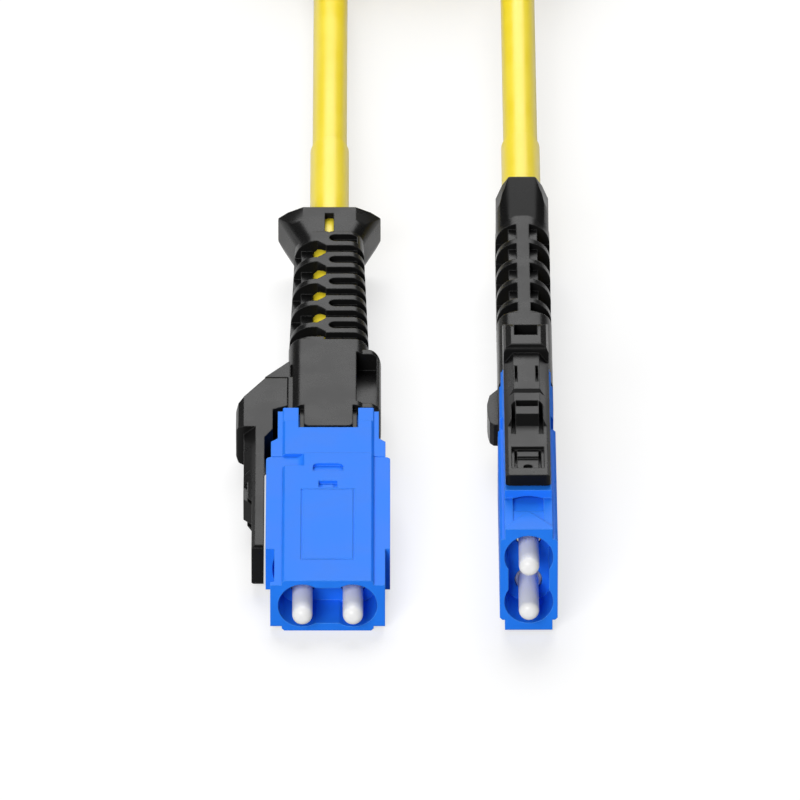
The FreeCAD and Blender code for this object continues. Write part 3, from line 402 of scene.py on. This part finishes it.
@dataclass(frozen=True)
class WovenTape:
    """Woven strap: crossing threads that follow the strap's own map, in millimetres."""

    name: str
    colour: Colour
    light: Colour
    thread: float = 0.32
    crest: float = 0.8
    weave_share: float = 0.8
    fuzz: float = 16000.0
    fuzz_share: float = 0.4
    roughness: float = 0.8
    fuzz_roughness: float = 0.15
    sheen: float = 0.3
    depth: float = 0.06 * MM

    def make(self) -> bpy.types.Material:
        """Build the material: a checked weave of raised threads with fuzz between them."""
        bench = Bench(self.name)
        strap_map = bench.node("ShaderNodeTexCoord").outputs["UV"]
        chart = bench.node("ShaderNodeSeparateXYZ", {}, {"Vector": strap_map})
        turn = math.pi / self.thread
        across, along = (Signal(bench, chart.outputs[axis]) * turn for axis in "XY")
        waves = [axis.maths("SINE", axis, 0.0) for axis in (across, along)]
        weave = (waves[0] * waves[1]).ramp(-self.crest, self.crest)
        fuzz = bench.noise(self.fuzz, detail=3.0)
        height = weave * self.weave_share + fuzz * self.fuzz_share
        return bench.finish(Base_Color=bench.blend(height, self.colour, self.light),
                            Roughness=self.roughness + fuzz * self.fuzz_roughness,
                            Sheen_Weight=self.sheen, Normal=bench.bump(height, self.depth))


@dataclass(frozen=True)
class Palette:
    """The finishes of the patch cord, by material slot."""

    # The second colour of each plastic is the paler colour of its painted edge highlight.
    blue: MouldedPlastic = MouldedPlastic("blue_moulded", (0.02, 0.215, 0.95), (0.12, 0.4, 1.0), 0.45, 0.06)
    black: MouldedPlastic = MouldedPlastic("black_moulded", (0.007, 0.007, 0.007), (0.07, 0.07, 0.07),
                                           0.28, 0.085)
    ceramic: PolishedCeramic = PolishedCeramic("white_ceramic", (0.96, 0.96, 0.96), (0.91, 0.91, 0.91))
    holder: TurnedMetal = TurnedMetal("turned_holder", (0.62, 0.6, 0.57), (0.42, 0.4, 0.38), 0.22)
    spring: TurnedMetal = TurnedMetal("drawn_spring", (0.56, 0.56, 0.58), (0.34, 0.34, 0.36), 0.25)
    crimp: TurnedMetal = TurnedMetal("pressed_crimp", (0.72, 0.72, 0.73), (0.52, 0.52, 0.54), 0.3)
    buffer: JacketPolymer = JacketPolymer("fibre_buffer", (0.88, 0.88, 0.85), (0.8, 0.8, 0.77), 0.45)
    sleeve: JacketPolymer = JacketPolymer("shrink_sleeve", (0.98, 0.79, 0.05), (0.95, 0.75, 0.03), 0.34)
    jacket: JacketPolymer = JacketPolymer("cable_jacket", (0.98, 0.79, 0.05), (0.95, 0.75, 0.03), 0.36)
    tape: WovenTape = WovenTape("woven_strap", (0.012, 0.012, 0.013), (0.06, 0.06, 0.065))

    def by_slot(self) -> dict[Slot, bpy.types.Material]:
        """Make every finish once, and file it under the record's slot."""
        finishes = (self.blue, self.black, self.ceramic, self.holder, self.spring, self.crimp, self.buffer,
                    self.sleeve, self.jacket, self.tape)
        return {slot: finish.make() for slot, finish in zip(Slot, finishes)}


class Dresser:
    """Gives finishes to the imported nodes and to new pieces."""

    def __init__(self, materials: dict[Slot, bpy.types.Material]) -> None:
        """Keep the finishes and read each node's slot from the record."""
        self.materials = materials
        self.slots = {item["node"]: Slot(item["material_slot"]) for item in frame["record"]["subparts"]}

    def dress_node(self, name: str) -> None:
        """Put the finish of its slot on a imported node, and shade its curved faces smoothly.

        Args:
            name: the node's name.
        """
        node = frame["nodes"][name]
        node.data.materials.clear()
        node.data.materials.append(self.materials[self.slots[name]])
        node.data.polygons.foreach_set("material_index", np.zeros(len(node.data.polygons), np.int32))
        node.data.polygons.foreach_set("use_smooth", np.ones(len(node.data.polygons), bool))
        weld = node.modifiers.new("weld", "WELD")
        weld.merge_threshold = WELD_REACH
        split = node.modifiers.new("sharp_edges", "EDGE_SPLIT")
        split.split_angle = SHARP_ANGLE
        log.info("dressed %s", name)

    def dress_piece(self, piece: bpy.types.Object, slot: Slot, body: Body) -> None:
        """Put a finish on a new piece and let it ride on a body.

        Args:
            piece: the new piece.
            slot: the record's slot that it takes its finish from.
            body: the body that carries it.
        """
        piece.data.materials.append(self.materials[slot])
        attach(piece, body.value)
        log.info("made %s", piece.name)


@dataclass
class Coil:
    """The put-away length: rings wound beside and on each other round a vertical axis, in millimetres."""

    centre: tuple[float, float] = (1.7, 72.8)
    radii: tuple[float, ...] = (13.17, 11.0, 8.83)
    floor: float = 1.535
    pitch: float = 2.17
    layers: int = 4
    points_each_turn: int = 16
    start: float = 208.1
    end: float = -28.1
    whole_turns: int = 11
    crossing: float = 70.0

    def points(self) -> np.ndarray:
        """Control points of the turns.

        The angle falls evenly from start to end. Ring by ring, the radius runs out and in over the columns
        and the height climbs a pitch for each layer, and both ease over to the next ring in the last part
        of a turn. Control points stand out by the amount that a quadratic spline cuts inside them.

        Returns:
            One row of x, y and z for each point, in millimetres.
        """
        sweep = self.start - self.end + 360.0 * self.whole_turns
        count = int(round(sweep / 360.0 * self.points_each_turn))
        share = np.linspace(0.0, 1.0, count + 1)[1:-1]
        angle = np.radians(self.start - share * sweep)
        columns = len(self.radii)
        rings = columns * self.layers
        order = np.arange(rings)
        column = np.where(order // columns % 2 == 0, order % columns, columns - 1 - order % columns)
        radius = np.asarray(self.radii)[column]
        height = self.floor + order // columns * self.pitch
        place = share * rings
        ring = np.minimum(place.astype(int), rings - 1)
        ahead = np.minimum(ring + 1, rings - 1)
        turn = sweep / rings
        late = np.clip(((place - ring) * turn - (turn - self.crossing)) / self.crossing, 0.0, 1.0)
        ease = late * late * (3.0 - 2.0 * late)
        step = math.radians(360.0 / self.points_each_turn)
        stand_out = 1.0 / (0.75 + 0.25 * math.cos(step))
        reach = (radius[ring] + (radius[ahead] - radius[ring]) * ease) * stand_out
        level = height[ring] + (height[ahead] - height[ring]) * ease
        return np.column_stack((self.centre[0] + reach * np.cos(angle),
                                self.centre[1] + reach * np.sin(angle), level))


@dataclass
class Cable:
    """The yellow cable from one connector through the coil to the other, in millimetres."""

    dresser: Dresser
    coil: Coil
    diameter: float = 2.17
    leave: Point = (-4.19, 28.95, 3.32)
    route_a: tuple[Point, ...] = ((-4.19, 0.06, 2.52), (-4.19, 33.0, 3.43), (-4.19, 48.05, 2.39),
                                  (-4.19, 55.15, 1.9), (-6.5, 61.86, 1.6), (-10.1, 66.5, 1.54))
    route_b: tuple[Point, ...] = ((8.0, 0.07, 3.83), (7.83, 33.0, 3.83), (7.74, 48.05, 4.63),
                                  (7.7, 55.15, 5.0), (9.85, 61.86, 6.4), (13.5, 66.5, 7.5))
    steps_round: int = 6
    steps_along: int = 8
    spline_order: int = 3

    def build(self, strap: bpy.types.Object) -> bpy.types.Object:
        """Args:
            strap: the strap round the coil, which goes with the cord; not used.

        Returns:
            The cable's curve.
        """
        points = np.vstack((self.route_a, self.coil.points(), self.route_b[::-1])) * MM
        curve = bpy.data.curves.new("cable", "CURVE")
        curve.dimensions = "3D"
        curve.bevel_depth = self.diameter / 2 * MM
        curve.bevel_resolution = self.steps_round
        curve.resolution_u = self.steps_along
        curve.use_fill_caps = True
        spline = curve.splines.new("NURBS")
        spline.points.add(len(points) - 1)
        weighted = np.column_stack((points, np.ones(len(points))))
        spline.points.foreach_set("co", weighted.astype(np.float32).ravel())
        spline.order_u = self.spline_order
        spline.use_endpoint_u = True
        cable = bpy.data.objects.new("cable", curve)
        bpy.context.scene.collection.objects.link(cable)
        self.dresser.dress_piece(cable, Slot.YELLOW_JACKET, Body.CORD)
        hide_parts("cable_run_a", "cable_run_b", "cable_coil")
        return cable


@dataclass
class CoilStrap:
    """The woven strap round the coil: a closed loop of tape, in millimetres."""

    dresser: Dresser
    coil: Coil
    width: float = 5.0
    thickness: float = 0.4
    corner: float = 1.2
    samples: int = 160
    strips: int = 8

    def loop(self) -> tuple[np.ndarray, np.ndarray]:
        """The tape's middle line round the coil's section, as a rounded rectangle.

        Points run round a rectangle with quarter circle corners at even angles from its middle, so the
        distance out is the nearer of the two straight sides, or the corner's circle.

        Returns:
            Points across the coil and up, and the length along the loop at each.
        """
        low_in = min(self.coil.radii) - self.coil.pitch / 2 - self.thickness / 2
        high_in = max(self.coil.radii) + self.coil.pitch / 2 + self.thickness / 2
        bottom = self.thickness / 2
        top = self.coil.floor + (self.coil.layers - 0.5) * self.coil.pitch + self.thickness / 2
        half = np.array(((high_in - low_in) / 2, (top - bottom) / 2))
        middle = np.array(((high_in + low_in) / 2, (top + bottom) / 2))
        angle = np.linspace(0.0, 2.0 * math.pi, self.samples + 1)
        heading = np.column_stack((np.cos(angle), np.sin(angle)))
        inner = half - self.corner
        flat = np.min(half / np.maximum(np.abs(heading), TINY), axis=1)
        along = np.abs(heading) @ inner
        reach = along + np.sqrt(np.maximum(along ** 2 - inner @ inner + self.corner ** 2, 0.0))
        at_corner = np.all(np.abs(heading) * reach[:, None] > inner, axis=1)
        points = middle + heading * np.where(at_corner, reach, flat)[:, None]
        run = np.concatenate(((0.0,), np.cumsum(np.linalg.norm(np.diff(points, axis=0), axis=1))))
        return points, run

    def build(self) -> bpy.types.Object:
        """Carry the tape's width along the loop, map it in millimetres and give it its thickness.

        Returns:
            The strap's mesh object.
        """
        section, run = self.loop()
        across = np.linspace(-0.5, 0.5, self.strips + 1) * self.width
        rows, columns = len(section), len(across)
        grid = np.empty((rows, columns, 3))
        grid[..., 0] = self.coil.centre[0] + across
        grid[..., 1] = self.coil.centre[1] + section[:, :1]
        grid[..., 2] = section[:, 1:]
        corner = np.arange(rows * columns).reshape(rows, columns)
        around = (corner[1:, :-1], corner[1:, 1:], corner[:-1, 1:], corner[:-1, :-1])
        faces = np.stack(around, axis=-1).reshape(-1, 4)
        # The last row lies on the first: its faces take the first row's vertices and keep their own map.
        closed = (rows - 1) * columns
        mesh = bpy.data.meshes.new("woven_strap")
        mesh.from_pydata((grid[:-1] * MM).reshape(-1, 3).tolist(), [], (faces % closed).tolist())
        chart = np.stack(np.broadcast_arrays(across[None, :], run[:, None]), axis=-1).reshape(-1, 2)
        layer = mesh.uv_layers.new(name="tape")
        layer.data.foreach_set("uv", chart[faces.ravel()].astype(np.float32).ravel())
        mesh.polygons.foreach_set("use_smooth", np.ones(len(mesh.polygons), bool))
        strap = bpy.data.objects.new("woven_strap", mesh)
        bpy.context.scene.collection.objects.link(strap)
        wall = strap.modifiers.new("thickness", "SOLIDIFY")
        wall.thickness = self.thickness * MM
        wall.offset = 0.0
        self.dresser.dress_piece(strap, Slot.TIE_FABRIC, Body.CORD)
        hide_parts("coil_tie")
        return strap


@dataclass
class Connector:
    """One end of the cord: its housings, boot, latch, sleeves and two floating ferrules.

    pressed_share, a spring's length with its ferrule pushed in as a share of its length at rest, is not used.
    """

    dresser: Dresser
    end: str
    shells: tuple[str, ...] = ("housing", "rear_body", "boot", "latch", "crimp_sleeve", "cable_sleeve")
    inside: tuple[str, ...] = ("ferrule", "ferrule_holder", "spring", "fibre")
    pressed_share: float = 0.885

    def press_spring(self, number: int) -> None:
        """Give a spring its own copy of its mesh.

        Args:
            number: the ferrule's number.
        """
        spring = frame["nodes"][f"spring_{number}_{self.end}"]
        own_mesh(spring)

    def build(self) -> None:
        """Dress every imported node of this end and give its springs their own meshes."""
        for piece in self.shells:
            self.dresser.dress_node(f"{piece}_{self.end}")
        for piece in self.inside:
            for number in FERRULES:
                self.dresser.dress_node(f"{piece}_{number}_{self.end}")
        for number in FERRULES:
            self.press_spring(number)


@dataclass(frozen=True)
class Softbox:
    """An area lamp that looks at the object: its place and size in millimetres, its power in watts."""

    name: str
    place: Point
    size: tuple[float, float]
    power: float

    def hang(self, aim: Point) -> None:
        """Make the lamp.

        Args:
            aim: the point that it looks at.
        """
        data = bpy.data.lights.new(self.name, "AREA")
        data.shape = "RECTANGLE"
        data.size, data.size_y = (value * MM for value in self.size)
        data.energy = self.power
        lamp = bpy.data.objects.new(self.name, data)
        lamp.location = Vector(self.place) * MM
        lamp.rotation_euler = (Vector(aim) - Vector(self.place)).to_track_quat("-Z", "Y").to_euler()
        bpy.context.scene.collection.objects.link(lamp)


@dataclass
class Studio:
    """Pale floor, softboxes and the camera at the photograph's angle, in millimetres and degrees."""

    aim: Point = (0.249, 2.469, 0.0)
    distance: float = 1600.0
    elevation: float = 28.705
    azimuth: float = 0.0
    view_width: float = 49.88
    sensor: float = 36.0
    clip: tuple[float, float] = (100.0, 20000.0)
    floor_size: float = 4000.0
    floor_lift: float = 0.64
    floor_roughness: float = 0.9
    paper: tuple[Colour, Colour] = ((0.38, 0.38, 0.38), (0.39, 0.39, 0.39))
    paper_clouds: float = 120.0
    ambient: float = 0.12
    lamps: tuple[Softbox, ...] = (
        Softbox("back_light", (0.0, 602.0, 669.0), (585.0, 878.0), 7.7),
        Softbox("front_light", (-250.0, -800.0, 450.0), (400.0, 400.0), 6.8))

    def camera(self) -> None:
        """Set the camera at its distance from the aim, with the lens that gives the view's width there."""
        rise, turn = math.radians(self.elevation), math.radians(self.azimuth)
        forward = Vector((-math.sin(turn) * math.cos(rise), math.cos(turn) * math.cos(rise), -math.sin(rise)))
        data = bpy.data.cameras.new("camera")
        data.sensor_width = self.sensor
        data.lens = self.sensor * self.distance / self.view_width
        data.clip_start, data.clip_end = (value * MM for value in self.clip)
        camera = bpy.data.objects.new("camera", data)
        camera.location = (Vector(self.aim) - forward * self.distance) * MM
        camera.rotation_euler = forward.to_track_quat("-Z", "Y").to_euler()
        bpy.context.scene.collection.objects.link(camera)
        bpy.context.scene.camera = camera

    def seen_directly(self, bench: Bench) -> Signal:
        """1 for rays from the camera, or seen in gloss or through glass."""
        path = bench.node("ShaderNodeLightPath")
        direct, gloss, glass = (Signal(bench, path.outputs[name])
                                for name in ("Is Camera Ray", "Is Glossy Ray", "Is Transmission Ray"))
        return direct.maths("MAXIMUM", direct.maths("MAXIMUM", direct, gloss), glass)

    def floor(self) -> None:
        """Lay a pale floor that is white where it is seen lit, and keeps the shadows."""
        half = self.floor_size / 2 * MM
        mesh = bpy.data.meshes.new("floor")
        corners = [(-half, -half, 0), (half, -half, 0), (half, half, 0), (-half, half, 0)]
        mesh.from_pydata(corners, [], [(0, 1, 2, 3)])
        floor = bpy.data.objects.new("floor", mesh)
        bpy.context.scene.collection.objects.link(floor)
        bench = Bench("studio_floor")
        seen = self.seen_directly(bench)
        paper = bench.blend(bench.noise(self.paper_clouds, detail=3.0), *self.paper)
        bench.finish(Base_Color=paper, Roughness=self.floor_roughness, Specular_IOR_Level=0.0,
                     Emission_Color=bench.blend(seen, BLACK, WHITE), Emission_Strength=self.floor_lift)
        mesh.materials.append(bench.material)

    def world(self) -> None:
        """Give a dim, even light from all round, so that the softboxes draw the gloss."""
        world = bpy.data.worlds.new("studio")
        world.use_nodes = True
        sky = world.node_tree.nodes["Background"]
        sky.inputs["Color"].default_value = WHITE + (1.0,)
        sky.inputs["Strength"].default_value = self.ambient
        bpy.context.scene.world = world

    def build(self) -> None:
        """Set the floor, the light and the camera."""
        bpy.context.scene.view_settings.view_transform = "Standard"
        self.floor()
        self.world()
        for lamp in self.lamps:
            lamp.hang(self.aim)
        self.camera()


def main() -> None:
    """Dress both connectors, lay the cable and its strap, and set the studio."""
    logging.basicConfig(level=logging.INFO, format="%(name)s: %(message)s")
    dresser = Dresser(Palette().by_slot())
    for end in ENDS:
        Connector(dresser, end).build()
    coil = Coil()
    strap = CoilStrap(dresser, coil).build()
    Cable(dresser, coil).build(strap)
    Studio().build()


if __name__ == "__main__":
    main()
